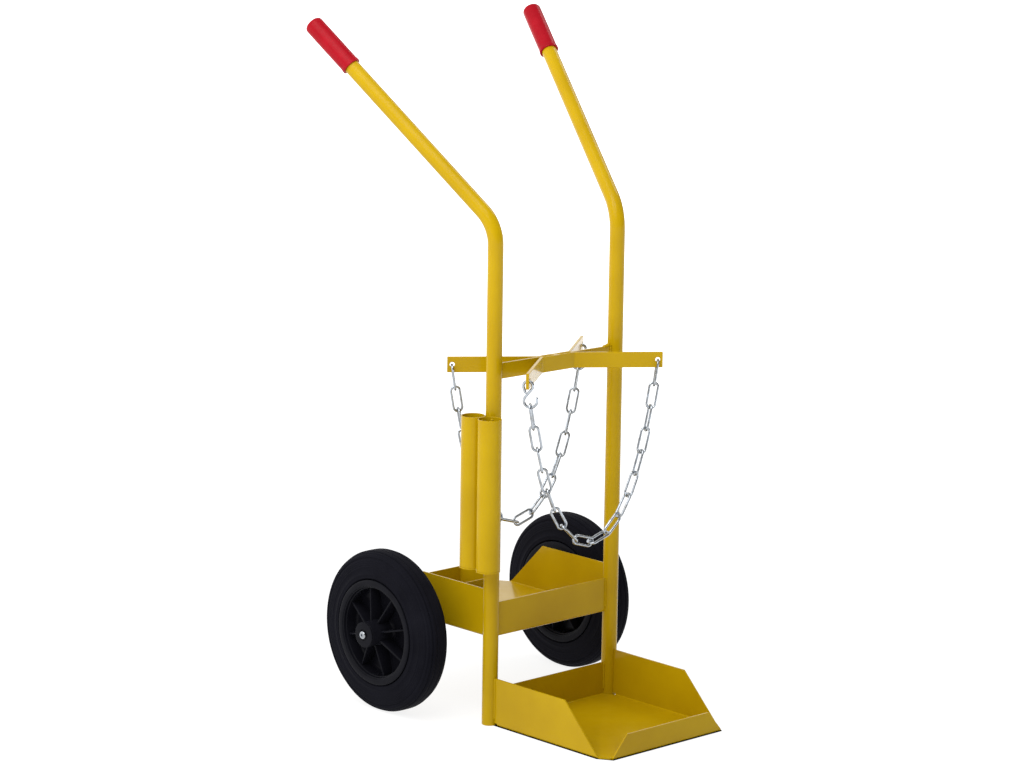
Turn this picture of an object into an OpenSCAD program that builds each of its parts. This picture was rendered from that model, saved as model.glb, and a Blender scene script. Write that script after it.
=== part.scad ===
// Cylinder trolley for one oxygen and one acetylene bottle, stood back to back.
// Origin: on the floor, midway between the two uprights, in the plane of their axes.
// +X points to the right for someone who faces the base tray, +Y to the rear, where the handles and
// the wheels are, and +Z up. Left and right in the names are seen from the front in the same way.

/* [Uprights and handles] */
// Distance between the axes of the two uprights
upright_gap = 264; // [236:2:320]
// Outer diameter of the upright tube
tube_d = 25; // [22:1:30]
// Wall of the upright tube
tube_wall = 2; // [1.5:0.5:3]
// Height where the upright's and the handle's centre lines cross
bend_z = 797; // [700:1:960]
// Centre-line radius of the bend
bend_r = 70; // [50:1:90]
// Lean of the handle from the vertical, degrees
handle_lean = 48.8; // [35:0.1:60]
// Outward splay of the handle from straight back, degrees
handle_splay = 18.1; // [0:0.1:25]
// Length from the crossing of the centre lines to the grip's end
handle_len = 445; // [360:5:540]

/* [Grips] */
// Length of the sleeve grip
grip_len = 98; // [80:1:130]
// Wall of the grip
grip_wall = 2.6; // [2:0.1:5]
// Thickness of the grip's closed end
grip_end = 4; // [3:0.5:8]
// Width of the raised rim at the grip's open end
grip_rim = 4; // [3:0.5:8]
// How far that rim stands out from the sleeve
grip_flare = 1.6; // [0.8:0.2:3]
// Radius that rounds the grip's closed end
grip_round = 6.8; // [3:0.2:8]

/* [Bottle trays] */
// Thickness of the tray sheet
sheet = 2.5; // [2:0.5:4]
// Depth of the base tray from the plane of the uprights to the outside of the lip
tray_depth = 266; // [230:1:320]
// How much shallower the axle tray is
axle_tray_less = 10; // [0:1:16]
// Height of the side walls
wall_h = 77; // [65:1:92]
// Height of the wall between the uprights
back_h = 56; // [44:1:64]
// Height of the lip
lip_h = 36; // [28:1:44]
// Depth at which a side wall of the base tray has come down to the floor
wall_foot = 245; // [215:1:300]
// Length taken off each floor corner, along the side
corner_long = 23; // [15:1:28]
// Width taken off each floor corner, across the cart
corner_wide = 14.5; // [10:0.5:18]
// How far each end of the lip leans in over its height
lip_lean = 29; // [10:1:34]
// Inside radius of the sheet bends
fold_r = 1.5; // [1:0.5:2.5]
// Side of the relief notch beside each upright
notch = 4; // [3:0.5:6]

/* [Tool compartment] */
// Distance from the plane of the uprights to the compartment's front plate
tool_front = 62; // [50:1:80]
// Length of the compartment
tool_len = 88; // [60:1:94]
// Width of the compartment
tool_width = 71; // [50:1:85]
// Thickness of the compartment's sheet
tool_sheet = 2; // [1.5:0.5:2.5]

/* [Cradles] */
// Height of the flat bar
bar_h = 25; // [20:1:30]
// Thickness of the flat bar
bar_t = 5; // [4:0.5:6]
// Height of the flat bars' centre line
bar_z = 567.5; // [530:0.5:640]
// Half length of a cradle's straight middle
cradle_half = 35.5; // [25:0.5:45]
// Angle between a cradle arm and the tie bar, degrees
cradle_angle = 37.8; // [25:0.1:45]
// How far the arms' ends reach past the uprights' axes
arm_reach = 15.5; // [10:0.5:24]
// Inside radius of the cradle bends
cradle_r = 6; // [4:0.5:12]
// Diameter of the chain hole in each arm
hole_d = 8; // [8:0.5:10]
// Distance from the hole's centre to the arm's end
hole_inset = 8; // [7:0.5:12]

/* [Rod tubes] */
// Outer diameter of the rod tubes
rod_d = 38; // [30:1:44]
// Wall of the rod tubes
rod_wall = 1.5; // [1.5:0.5:3]
// Height of the rod tubes' lower end
rod_z = 256; // [240:1:290]
// Length of the rod tubes with their closing discs
rod_len = 243; // [200:1:280]
// Thickness of the closing disc
rod_cap_t = 2; // [2:0.5:4]

/* [Chains] */
// Wire of the chain links
wire_d = 4; // [3.5:0.5:4]
// Inside length of a link
link_pitch = 37.2; // [34:0.1:42]
// Outside width of a link
link_w = 18; // [17:0.5:20]
// Number of links, an odd number
link_count = 17; // [17:2:23]
// Wire of the S hook
hook_d = 4.5; // [4:0.1:4.6]
// Centre-line radius of the hook's upper loop
hook_top_r = 7.5; // [7:0.5:9]
// Centre-line radius of the hook's lower loop
hook_low_r = 10.2; // [9:0.1:12]
// Distance between the centres of the two loops
hook_step = 23.4; // [22:0.1:28]
// Sideways offset between the two loops
hook_shift = 4; // [3:0.5:5]

/* [Wheels] */
// Outer diameter of the tyre
wheel_d = 261; // [230:1:300]
// Width of the tyre beside the rim
tyre_w = 54; // [46:1:64]
// Width of the tyre where its side faces meet the rounded shoulders
shoulder_w = 38; // [30:1:44]
// Height of the rounded shoulders
shoulder_h = 6.5; // [4:0.5:10]
// Width of the flat tread
tread_w = 18; // [10:1:24]
// Outer diameter of the rim's flange
rim_d = 170; // [150:1:186]
// Diameter of the rim's dished opening
dish_d = 144; // [120:1:146]
// Diameter of the rim's drum, under the tyre
drum_d = 154; // [148:1:160]
// Width of the rim across the flanges
rim_w = 55; // [48:1:66]
// How much the dish's radius draws in from the face to the web
dish_draft = 2; // [1:0.5:3]
// How deep the flanges' inner faces lie inside the tyre's side faces
flange_seat = 5; // [3:0.5:8]
// Thickness of the rim's web
web_t = 4; // [3:0.5:6]
// Number of ribs on each side of the web
rib_count = 8; // [5:1:12]
// Thickness of a rib
rib_t = 3; // [2:0.5:4]
// Depth of a rib's outer end below the rim's face
rib_drop = 8; // [4:0.5:12]
// Height of a rib's inner end above the rim's face
rib_rise = 1; // [0:0.5:3]
// Turn of the first rib, degrees
rib_turn = 14; // [0:1:44]
// Outer diameter of the hub
hub_d = 40.6; // [36:0.2:48]
// Length of the hub
hub_len = 90; // [80:1:110]
// Distance from the axle to the plane of the uprights
axle_y = 170; // [160:1:186]
// Diameter of the axle
axle_d = 20; // [16:1:22]
// Room between the axle tray's wall and the hub
wheel_room = 24; // [20:1:40]

/* [Bearings and fasteners] */
// Length of a wheel bush
bush_len = 20; // [15:1:30]
// Wall of a wheel bush
bush_wall = 3; // [2:0.5:4]
// Radial running clearance between axle and bush
run_gap = 0.05; // [0.02:0.01:0.1]
// End play on each side of a hub
end_play = 0.4; // [0.3:0.1:1]
// Thickness of the washers
washer_t = 2; // [1.5:0.5:3]
// Length of the collar that is fixed on the axle
collar_len = 8; // [6:1:12]
// Wall of that collar
collar_wall = 5; // [3:0.5:8]
// Diameter of the hub bolt's round head
bolt_head_d = 14; // [12:0.5:18]
// Thickness of the hub bolt's head
bolt_head_t = 4; // [3:0.5:6]
// Chamfer on the head's rim, and the depth of the dimple in its middle
bolt_edge = 1.2; // [0.6:0.2:2]
// Shank diameter of the hub bolt
bolt_d = 8; // [6:1:10]
// Length of the hub bolt's shank
bolt_len = 22; // [16:1:30]

/* [Hidden] */
$fn = 64;

yellow = [0.86, 0.68, 0.08];
red = [0.84, 0.11, 0.16];
rubber = [0.13, 0.13, 0.15];
dark_plastic = [0.16, 0.16, 0.18];
zinc = [0.78, 0.80, 0.82];
bronze = [0.66, 0.50, 0.26];
steel = [0.55, 0.56, 0.58];

seat_gap = 0.1;             // a press or weld seat between round faces
skin = 1;                   // how far a cutting tool runs past the faces that it cuts
thin = 0.01;                // a bend's section is this much thinner than the straights that hold its ends
bite = 0.05;                // how far a straight reaches over the end of a bend
fuse = 0.5;                 // how far the web reaches into the drum
rib_gap = 0.4;              // clearance of the ribs from the web, the drum and the hub

half_gap = upright_gap / 2;
tube_r = tube_d / 2;
wall_out = half_gap + sheet / 2;            // outside face of a tray's side wall
axle_z = wheel_d / 2;
axle_tray_z = axle_z + axle_d / 2 + seat_gap;

// Cradle arms: a point on the middle plane of the front-right arm at a given X
arm_end_x = half_gap + arm_reach;
cradle_y = -bar_t;
function arm_y(x) = cradle_y - (x - cradle_half) * tan(cradle_angle);
hole_x = arm_end_x - hole_inset * cos(cradle_angle);
hole_y = arm_y(hole_x);

// Rod tubes stand on each other and on the left upright
rod_r = rod_d / 2;
rod_y = rod_r + seat_gap / 2;
rod_reach = tube_r + rod_r + seat_gap;
rod_x = -half_gap - sqrt(rod_reach * rod_reach - rod_y * rod_y);

// Wheels, measured from the middle of the cart
hub_in = wall_out + wheel_room;
wheel_x = hub_in + hub_len / 2;
hub_out = hub_in + hub_len;
axle_half = hub_out + end_play;
hub_bore_r = axle_d / 2 + run_gap + bush_wall;
flange_t = (rim_w - tyre_w) / 2 + flange_seat;
dish_r = dish_d / 2;
web_r = dish_r - dish_draft;                // the dish's radius at its middle, where the web is

// Chain: link_gap is the play between neighbours, so that the hanging run swings clear of its ends
wire_r = wire_d / 2;
link_gap = 0.9;
link_step = link_pitch - link_gap;
link_bend_r = (link_w - wire_d) / 2;
bar_bite = 0.6;                             // clearance of a link or hook on the hole's lower edge
hole_low = bar_z - hole_d / 2;
function bite_drop(r) = r - sqrt(r * r - bar_t * bar_t / 4);
chain_start_z = hole_low + bar_bite + bite_drop(link_bend_r - wire_r) - link_gap / 2;

hook_r = hook_d / 2;
hook_top_z = hole_low + bar_bite + bite_drop(hook_top_r - hook_r) + hook_r - hook_top_r;
hook_low_z = hook_top_z - hook_step;
chain_end_x = -hole_x + hook_shift * sin(cradle_angle);
chain_end_z = hook_low_z - hook_low_r + hook_r + link_gap / 2;
chain_end_y = hole_y - hook_shift * cos(cradle_angle);

// The chain's hanging curve: a catenary through both ends with link_count steps along it
sag_range = [0.02, 5];      // smallest and largest catenary size tried, in spans
sag_turns = 60;             // how often that range is halved
function sinh(v) = (exp(v) - exp(-v)) / 2;
function cosh(v) = (exp(v) + exp(-v)) / 2;
function asinh(v) = ln(v + sqrt(v * v + 1));
function atanh(v) = ln((1 + v) / (1 - v)) / 2;
// Halves the interval until 2 a sinh(span / 2a) equals the level length
function sag_size(span, level, low, high, turns) =
    let (mid = (low + high) / 2)
    turns == 0 ? mid
    : 2 * mid * sinh(span / 2 / mid) > level ? sag_size(span, level, mid, high, turns - 1)
    : sag_size(span, level, low, mid, turns - 1);

chain_span = hole_x - chain_end_x;
chain_rise = chain_end_z - chain_start_z;
chain_len = link_count * link_step;
chain_a = sag_size(chain_span, sqrt(chain_len * chain_len - chain_rise * chain_rise),
                   chain_span * sag_range[0], chain_span * sag_range[1], sag_turns);
chain_mid = chain_span / 2 - chain_a * atanh(chain_rise / chain_len);
function chain_u(s) = chain_mid + chain_a * asinh(s / chain_a - sinh(chain_mid / chain_a));
function chain_z(u) =
    chain_start_z + chain_a * (cosh((u - chain_mid) / chain_a) - cosh(chain_mid / chain_a));
chain_points = [
    for (i = [0:link_count])
        let (u = chain_u(i * link_step), f = i / link_count)
        [hole_x - u, hole_y + (chain_end_y - hole_y) * f, chain_z(u)]
];

// ---- Uprights and grips ----

// Carries a handle's own frame, +Z along the handle, to the left bend
module at_left_handle() {
    translate([-half_gap, 0, bend_z])
        rotate([0, 0, 90 + handle_splay])
            rotate([0, handle_lean, 0])
                children();
}

module tube_ring(less) {
    difference() {
        circle(r = tube_r - less);
        circle(r = tube_r - tube_wall + less);
    }
}

// The left upright, its bend and its handle as one tube
module upright_shape() {
    tangent = bend_r * tan(handle_lean / 2);
    post = bend_z - tangent;
    handle = handle_len - grip_end - seat_gap - tangent;
    translate([-half_gap, 0, 0])
        linear_extrude(height = post + bite)
            tube_ring(0);
    translate([-half_gap, 0, post])
        rotate([0, 0, 90 + handle_splay])
            translate([bend_r, 0, 0]) {
                rotate([90, 0, 180])
                    rotate_extrude(angle = handle_lean, $fn = 96)
                        translate([bend_r, 0])
                            tube_ring(thin);
                rotate([0, handle_lean, 0])
                    translate([-bend_r, 0, -bite])
                        linear_extrude(height = handle + bite)
                            tube_ring(0);
            }
}

// Sleeve grip: a plain sleeve with a rounded closed end and a raised rim at its open end
module grip_shape() {
    bore_r = tube_r + seat_gap;
    out_r = bore_r + grip_wall;
    at_left_handle()
        translate([0, 0, handle_len - grip_len])
            rotate_extrude()
                difference() {
                    union() {
                        square([out_r, grip_len - grip_round]);
                        square([out_r - grip_round, grip_len]);
                        translate([out_r - grip_round, grip_len - grip_round])
                            circle(r = grip_round);
                        square([out_r + grip_flare, grip_rim]);
                    }
                    translate([0, -skin])
                        square([bore_r, grip_len - grip_end + skin]);
                    translate([-out_r, -skin])
                        square([out_r, grip_len + 2 * skin]);
                }
}

module left_upright() {
    color(yellow) upright_shape();
}

module right_upright() {
    color(yellow) mirror([1, 0, 0]) upright_shape();
}

module left_grip() {
    color(red) grip_shape();
}

module right_grip() {
    color(red) mirror([1, 0, 0]) grip_shape();
}

// ---- Bottle trays ----

// Section across a tray: floor and two walls with rounded folds
module tray_section() {
    out_r = fold_r + sheet;
    difference() {
        union() {
            translate([-wall_out, out_r])
                square([2 * wall_out, wall_h - out_r]);
            translate([-wall_out + out_r, 0])
                square([2 * (wall_out - out_r), wall_h]);
            for (side = [-1, 1])
                translate([side * (wall_out - out_r), out_r])
                    circle(r = out_r);
        }
        translate([-wall_out + sheet, out_r])
            square([2 * (wall_out - sheet), wall_h]);
        translate([-wall_out + out_r, sheet])
            square([2 * (wall_out - out_r), wall_h]);
        for (side = [-1, 1])
            translate([side * (wall_out - out_r), out_r])
                circle(r = fold_r);
    }
}

// Outline of a side wall and the floor's edge, seen from the side: y forward, z up
module tray_side(less) {
    far = tray_depth + skin - less;
    foot = wall_foot - less;
    polygon([[-skin, -skin], [far, -skin], [far, sheet], [foot, sheet],
             [foot - (wall_h - sheet), wall_h + skin], [-skin, wall_h + skin]]);
}

// Plan outline of the floor with its two cut corners, y forward
module tray_plan(depth) {
    side = wall_out + skin;
    side_y = depth - corner_long - corner_long * skin / corner_wide;
    lip_half = wall_out - corner_wide;
    polygon([[-side, 0], [side, 0], [side, side_y], [lip_half, depth], [-lip_half, depth],
             [-side, side_y]]);
}

// An upstand that a fold joins to the floor; its outside face lies at y = 0 and it stands toward +z
module upstand_section(h) {
    out_r = fold_r + sheet;
    difference() {
        union() {
            translate([0, out_r])
                square([sheet, h - out_r]);
            translate([out_r, 0])
                square([fold_r, sheet]);
            intersection() {
                translate([out_r, out_r])
                    circle(r = out_r);
                square(out_r);
            }
        }
        translate([out_r, out_r])
            circle(r = fold_r);
    }
}

// The bottle tray: floor, side walls, a wall between the uprights and a lip with leaning ends
module tray_shape(less) {
    depth = tray_depth - less;
    lip_half = wall_out - corner_wide;
    out_r = fold_r + sheet;
    back_half = wall_out - notch;
    difference() {
        union() {
            intersection() {
                rotate([90, 0, 0])
                    linear_extrude(height = depth - out_r)
                        tray_section();
                rotate([0, 0, -90])
                    rotate([90, 0, 0])
                        linear_extrude(height = 3 * wall_out, center = true)
                            tray_side(less);
                mirror([0, 1, 0])
                    translate([0, 0, -skin])
                        linear_extrude(height = wall_h + 3 * skin)
                            tray_plan(depth);
            }
            // lip
            intersection() {
                translate([0, -depth, 0])
                    rotate([90, 0, 90])
                        linear_extrude(height = 2 * lip_half, center = true)
                            upstand_section(lip_h);
                rotate([90, 0, 0])
                    linear_extrude(height = depth + skin)
                        polygon([[-lip_half, -skin], [lip_half, -skin], [lip_half, out_r],
                                 [lip_half - lip_lean, lip_h], [-lip_half + lip_lean, lip_h],
                                 [-lip_half, out_r]]);
            }
            // wall between the uprights
            translate([0, sheet / 2, 0])
                mirror([0, 1, 0])
                    rotate([90, 0, 90])
                        linear_extrude(height = 2 * back_half, center = true)
                            upstand_section(back_h);
        }
        for (side = [-1, 1]) {
            translate([side * half_gap, 0, -skin])
                cylinder(r = tube_r + seat_gap, h = wall_h + 2 * skin);
            translate([side * half_gap, -tube_r - notch / 2, 0])
                cube([2 * notch, 2 * notch, 2 * notch], center = true);
        }
        // nothing of the sheet shows behind the uprights' plane but the wall itself
        translate([-2 * wall_out, sheet / 2, -skin])
            cube([4 * wall_out, depth, wall_h + 3 * skin]);
        for (side = [-1, 1])
            translate([side * (half_gap + tube_r), 0, wall_h / 2])
                cube([2 * tube_r, tube_d, wall_h + 2 * skin], center = true);
    }
}

module base_tray() {
    color(yellow) tray_shape(0);
}

module axle_tray() {
    color(yellow)
        translate([0, 0, axle_tray_z])
            rotate([0, 0, 180])
                tray_shape(axle_tray_less);
}

// Tool compartment: a sheet folded to a U that stands on the axle tray against its left wall
module tool_box() {
    out_r = fold_r + tool_sheet;
    left = -wall_out + sheet + seat_gap;
    right = left + tool_width;
    color(yellow)
        translate([0, tool_front, axle_tray_z + sheet])
            difference() {
                linear_extrude(height = wall_h - sheet)
                    difference() {
                        union() {
                            translate([left, 0])
                                square([tool_width - out_r, tool_len]);
                            translate([right - out_r, out_r])
                                square([out_r, tool_len - 2 * out_r]);
                            for (y = [out_r, tool_len - out_r])
                                translate([right - out_r, y])
                                    circle(r = out_r);
                        }
                        translate([left - skin, tool_sheet])
                            square([tool_width - out_r + skin, tool_len - 2 * tool_sheet]);
                        translate([right - out_r, out_r])
                            square([fold_r, tool_len - 2 * out_r]);
                        for (y = [out_r, tool_len - out_r])
                            translate([right - out_r, y])
                                circle(r = fold_r);
                    }
                // the lower corners clear the fold at the foot of the tray's wall
                translate([left - skin, -skin, -skin])
                    cube([fold_r + skin, tool_len + 2 * skin, fold_r + skin]);
            }
}

// ---- Tie bar and cradles ----

module tie_bar() {
    color(yellow)
        difference() {
            translate([-half_gap, -bar_t / 2, bar_z - bar_h / 2])
                cube([upright_gap, bar_t, bar_h]);
            for (side = [-1, 1])
                translate([side * half_gap, 0, bar_z - bar_h])
                    cylinder(r = tube_r + seat_gap, h = 2 * bar_h);
        }
}

// Plan of a cradle's right half: straight middle, bend and arm, with the bar's middle on y = 0
module cradle_half_plan() {
    mid_r = cradle_r + bar_t / 2;
    tangent = mid_r * tan(cradle_angle / 2);
    arm_len = (arm_end_x - cradle_half) / cos(cradle_angle);
    translate([0, -bar_t / 2])
        square([cradle_half - tangent + bite, bar_t]);
    translate([cradle_half - tangent, -mid_r])
        intersection() {
            difference() {
                circle(r = mid_r + bar_t / 2 - thin);
                circle(r = cradle_r + thin);
            }
            polygon([[0, 0], [0, 3 * mid_r], [3 * mid_r * tan(cradle_angle), 3 * mid_r]]);
        }
    translate([cradle_half, 0])
        rotate(-cradle_angle)
            translate([tangent - bite, -bar_t / 2])
                square([arm_len - tangent + bite, bar_t]);
}

module cradle_shape() {
    difference() {
        translate([0, cradle_y, bar_z - bar_h / 2])
            linear_extrude(height = bar_h)
                for (side = [0, 1])
                    mirror([side, 0])
                        cradle_half_plan();
        for (side = [-1, 1])
            translate([side * hole_x, hole_y, bar_z])
                rotate([0, 0, side * (90 - cradle_angle)])
                    rotate([0, 90, 0])
                        cylinder(d = hole_d, h = 4 * bar_t, center = true);
    }
}

module front_cradle() {
    color(yellow) cradle_shape();
}

module rear_cradle() {
    color(yellow) rotate([0, 0, 180]) cradle_shape();
}

// ---- Rod tubes ----

// The tube stands on its closing disc
module rod_tube_shape(y) {
    translate([rod_x, y, rod_z + rod_cap_t])
        difference() {
            cylinder(r = rod_r, h = rod_len - rod_cap_t);
            translate([0, 0, -skin])
                cylinder(r = rod_r - rod_wall, h = rod_len + 2 * skin);
        }
}

module rod_cap_shape(y) {
    translate([rod_x, y, rod_z])
        cylinder(r = rod_r, h = rod_cap_t);
}

module front_rod_tube() {
    color(yellow) rod_tube_shape(-rod_y);
}

module rear_rod_tube() {
    color(yellow) rod_tube_shape(rod_y);
}

module front_rod_cap() {
    color(yellow) rod_cap_shape(-rod_y);
}

module rear_rod_cap() {
    color(yellow) rod_cap_shape(rod_y);
}

// ---- Chains and S hooks ----

// One link, long axis on Z and width on Y
module link() {
    straight = link_pitch / 2 - (link_bend_r - wire_r);
    for (side = [-1, 1])
        translate([0, side * link_bend_r, 0])
            cylinder(r = wire_r, h = 2 * straight, center = true);
    for (turn = [0, 180])
        rotate([turn, 0, 0])
            translate([0, 0, straight])
                rotate([90, 0, 90])
                    rotate_extrude(angle = 180)
                        translate([link_bend_r, 0])
                            circle(r = wire_r);
}

// Places link number i on the hanging curve; the roll turns slowly from hole to hook
module chain_link(i) {
    a = chain_points[i - 1];
    b = chain_points[i];
    roll = cradle_angle - 90 * (i - 1) / (link_count - 1) + (i % 2 == 0 ? 90 : 0);
    translate((a + b) / 2)
        rotate([0, atan2(b[0] - a[0], b[2] - a[2]), 0])
            rotate([0, 0, roll])
                link();
}

module chain_shape() {
    for (i = [2:link_count])
        chain_link(i);
}

// S hook in its own plane: upper loop on x = 0, z = 0, both loops round the Y axis
module hook_arc(r, from, sweep) {
    rotate([90, 0, 0])
        rotate(from)
            rotate_extrude(angle = sweep)
                translate([r, 0])
                    circle(r = hook_r - thin);
}

module hook_rod(from, to) {
    d = to - from;
    translate([from[0], 0, from[1]])
        rotate([0, atan2(d[0], d[1]), 0])
            translate([0, 0, -bite])
                cylinder(r = hook_r, h = norm(d) + 2 * bite);
}

module hook_shape() {
    lead = 20;              // extra turn of the upper loop past its half circle
    lip_top = 8;            // straight end below the upper loop
    lip_low = 4.6;          // straight end above the lower loop
    // the straight between the loops crosses from the right of the upper one to the left of the lower
    low = [hook_shift, -hook_step];
    reach = norm(low);
    lean = atan2(low[0], -low[1]);
    cross = asin((hook_top_r + hook_low_r) / reach);
    // direction from the upper loop's centre to the point where the straight leaves it, from +X
    leave = lean - cross;
    p_top = hook_top_r * [cos(leave), sin(leave)];
    p_low = low - hook_low_r * [cos(leave), sin(leave)];
    hook_arc(hook_top_r, leave, 180 + lead - leave);
    translate([low[0], 0, low[1]])
        hook_arc(hook_low_r, 180 + leave, 180 - leave);
    hook_rod(p_top, p_low);
    start = hook_top_r * [-cos(lead), -sin(lead)];
    hook_rod(start, start + lip_top * [sin(lead), -cos(lead)]);
    end = low + [hook_low_r, 0];
    hook_rod(end, end + [0, lip_low]);
}

module s_hook_shape() {
    translate([-hole_x, hole_y, hook_top_z])
        rotate([0, 0, cradle_angle - 90])
            hook_shape();
}

module front_first_link() {
    color(zinc) chain_link(1);
}

module front_chain() {
    color(zinc) chain_shape();
}

module front_s_hook() {
    color(zinc) s_hook_shape();
}

module rear_first_link() {
    color(zinc) rotate([0, 0, 180]) chain_link(1);
}

module rear_chain() {
    color(zinc) rotate([0, 0, 180]) chain_shape();
}

module rear_s_hook() {
    color(zinc) rotate([0, 0, 180]) s_hook_shape();
}

// ---- Axle, bearings and wheels ----

// Stands on the axle's line with +Z pointing outward; side is -1 for left and 1 for right
module on_axle(side, x) {
    translate([side * x, axle_y, axle_z])
        rotate([0, side * 90, 0])
            children();
}

module ring(outer_r, inner_r, h) {
    difference() {
        cylinder(r = outer_r, h = h);
        translate([0, 0, -skin])
            cylinder(r = inner_r, h = h + 2 * skin);
    }
}

module axle() {
    color(steel)
        difference() {
            translate([0, axle_y, axle_z])
                rotate([0, 90, 0])
                    cylinder(d = axle_d, h = 2 * axle_half, center = true);
            for (side = [-1, 1])
                on_axle(side, axle_half - bolt_len - skin)
                    cylinder(r = bolt_d / 2 + seat_gap, h = bolt_len + 2 * skin);
        }
}

module collar(side) {
    color(steel)
        on_axle(side, hub_in - end_play - washer_t - collar_len)
            ring(axle_d / 2 + collar_wall, axle_d / 2 + seat_gap, collar_len);
}

module inner_washer(side) {
    color(steel)
        on_axle(side, hub_in - end_play - washer_t)
            ring(hub_d / 2, axle_d / 2 + seat_gap, washer_t);
}

module outer_washer(side) {
    color(dark_plastic)
        on_axle(side, axle_half)
            ring(hub_d / 2, bolt_d / 2 + seat_gap, washer_t);
}

// Round-headed bolt with a centre dimple, driven into the axle's end
module hub_bolt(side) {
    head_r = bolt_head_d / 2;
    color(zinc)
        on_axle(side, axle_half + washer_t)
            difference() {
                union() {
                    cylinder(r = head_r, h = bolt_head_t - bolt_edge);
                    translate([0, 0, bolt_head_t - bolt_edge])
                        cylinder(r1 = head_r, r2 = head_r - bolt_edge, h = bolt_edge);
                    translate([0, 0, -washer_t - bolt_len])
                        cylinder(d = bolt_d, h = washer_t + bolt_len + skin);
                }
                translate([0, 0, bolt_head_t - bolt_edge])
                    cylinder(d = bolt_d / 2, h = 2 * bolt_edge, $fn = 6);
            }
}

// Rim: drum with two flanges, web and hub, axis on Z, middle at z = 0
module rim_shape() {
    difference() {
        union() {
            rotate_extrude($fn = 128)
                polygon([[web_r, web_t / 2], [dish_r, rim_w / 2], [rim_d / 2, rim_w / 2],
                         [rim_d / 2, rim_w / 2 - flange_t], [drum_d / 2, rim_w / 2 - flange_t],
                         [drum_d / 2, -rim_w / 2 + flange_t], [rim_d / 2, -rim_w / 2 + flange_t],
                         [rim_d / 2, -rim_w / 2], [dish_r, -rim_w / 2], [web_r, -web_t / 2]]);
            cylinder(r = dish_r + fuse, h = web_t, center = true);
            cylinder(r = hub_d / 2, h = hub_len, center = true);
        }
        cylinder(r = hub_bore_r, h = hub_len + 2 * skin, center = true);
    }
}

// The rim's ribs: plates on both sides of the web that fill the dish from the hub to the drum
module ribs_shape() {
    foot = web_t / 2 + rib_gap;
    outer_h = rim_w / 2 - rib_drop;
    in_r = hub_d / 2 + rib_gap;
    out_r = web_r - rib_gap;
    draft = dish_draft * (outer_h - web_t / 2) / (rim_w / 2 - web_t / 2);
    for (k = [0:rib_count - 1], turn = [0, 180])
        rotate([0, 0, rib_turn + 360 * k / rib_count])
            rotate([90 + turn, 0, 0])
                linear_extrude(height = rib_t, center = true)
                    polygon([[in_r, foot], [out_r, foot], [out_r + draft, outer_h],
                             [in_r, rim_w / 2 + rib_rise]]);
}

// Tyre: side faces draw in to a shoulder, then round over to the tread
module tyre_shape() {
    bead = rim_w / 2 - flange_t - seat_gap;
    in_r = drum_d / 2 + seat_gap;
    lip_r = rim_d / 2 + seat_gap;
    shoulder = [wheel_d / 2 - shoulder_h, shoulder_w / 2];
    crown = [wheel_d / 2, tread_w / 2];
    half = concat(
        [[in_r, bead], [lip_r, bead], [lip_r, tyre_w / 2]],
        [for (a = [0:15:90])
            [shoulder[0] + (crown[0] - shoulder[0]) * sin(a), crown[1] + (shoulder[1] - crown[1]) * cos(a)]]);
    other = [for (i = [len(half) - 1:-1:0]) [half[i][0], -half[i][1]]];
    rotate_extrude($fn = 128)
        polygon(concat(half, other));
}

module rim(side) {
    color(dark_plastic) on_axle(side, wheel_x) rim_shape();
}

module rim_ribs(side) {
    color(dark_plastic) on_axle(side, wheel_x) ribs_shape();
}

module tyre(side) {
    color(rubber) on_axle(side, wheel_x) tyre_shape();
}

module bush(side, x) {
    color(bronze) on_axle(side, x) ring(hub_bore_r - run_gap / 2, axle_d / 2 + run_gap, bush_len);
}

left_upright();
right_upright();
left_grip();
right_grip();
base_tray();
axle_tray();
tool_box();
tie_bar();
front_cradle();
rear_cradle();
front_rod_tube();
rear_rod_tube();
front_rod_cap();
rear_rod_cap();
front_first_link();
front_chain();
front_s_hook();
rear_first_link();
rear_chain();
rear_s_hook();
axle();
collar(-1);  // left_collar
collar(1);  // right_collar
inner_washer(-1);  // left_inner_washer
inner_washer(1);  // right_inner_washer
outer_washer(-1);  // left_outer_washer
outer_washer(1);  // right_outer_washer
hub_bolt(-1);  // left_hub_bolt
hub_bolt(1);  // right_hub_bolt
rim(-1);  // left_rim
rim(1);  // right_rim
rim_ribs(-1);  // left_rim_ribs
rim_ribs(1);  // right_rim_ribs
tyre(-1);  // left_tyre
tyre(1);  // right_tyre
bush(-1, hub_out - bush_len);  // left_outer_bush
bush(-1, hub_in);  // left_inner_bush
bush(1, hub_out - bush_len);  // right_outer_bush
bush(1, hub_in);  // right_inner_bush
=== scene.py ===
import bmesh
import bpy
import numpy as np
from mathutils import Matrix, Vector


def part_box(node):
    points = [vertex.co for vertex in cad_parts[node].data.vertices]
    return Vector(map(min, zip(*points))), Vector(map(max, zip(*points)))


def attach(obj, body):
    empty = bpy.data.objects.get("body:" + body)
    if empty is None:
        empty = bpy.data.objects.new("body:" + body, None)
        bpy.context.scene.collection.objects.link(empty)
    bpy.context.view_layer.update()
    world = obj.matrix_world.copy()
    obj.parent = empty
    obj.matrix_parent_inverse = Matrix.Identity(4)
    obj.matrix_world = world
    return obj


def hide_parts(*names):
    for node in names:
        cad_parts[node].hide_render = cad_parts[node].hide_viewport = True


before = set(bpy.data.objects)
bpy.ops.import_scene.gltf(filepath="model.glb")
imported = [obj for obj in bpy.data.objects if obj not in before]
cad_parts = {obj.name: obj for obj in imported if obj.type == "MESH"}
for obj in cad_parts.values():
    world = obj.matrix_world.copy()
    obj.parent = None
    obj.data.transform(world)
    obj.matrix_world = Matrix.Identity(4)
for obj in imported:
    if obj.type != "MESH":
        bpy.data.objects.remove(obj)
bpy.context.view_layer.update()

print("frame loaded,", len(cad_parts), "nodes")

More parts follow.
